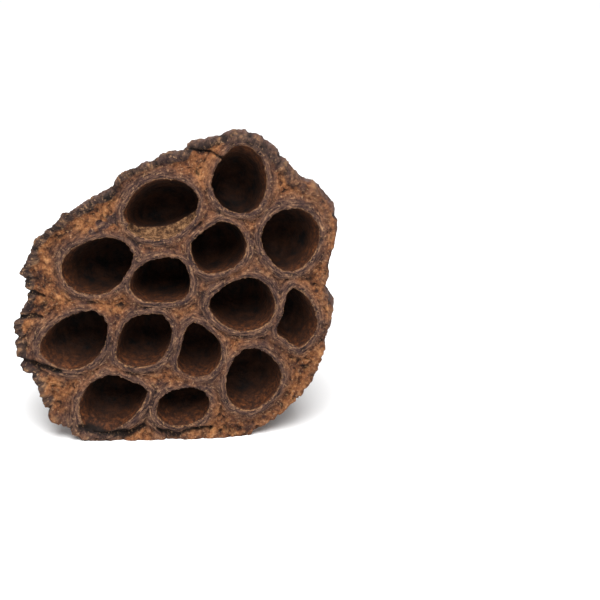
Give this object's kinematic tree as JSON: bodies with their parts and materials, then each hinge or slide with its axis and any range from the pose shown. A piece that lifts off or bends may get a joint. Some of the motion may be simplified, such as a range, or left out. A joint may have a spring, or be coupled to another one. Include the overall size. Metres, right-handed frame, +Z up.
{
  "type": "dried lotus pod",
  "caption": "Dried lotus seed pod on its side, its flat face of open, empty seed pockets to the front and a folded bowl narrowing to the stem scar behind.",
  "frame": {"origin": "bottom centre of the pod's box, on the surface it stands on", "axes": "+Z up; -Y out of the seed face, +Y back to the stem scar; +X to the right as the face is seen"},
  "size_m": [0.1006, 0.0554, 0.0988],
  "materials": {
    "dried_husk": "matt, dry and fibrous, with crumbly tan pith on the face, grey collars and a red-brown pleated back"
  },
  "bodies": {
    "root": {"lotus_pod": "dried_husk"}
  },
  "joints": []
}
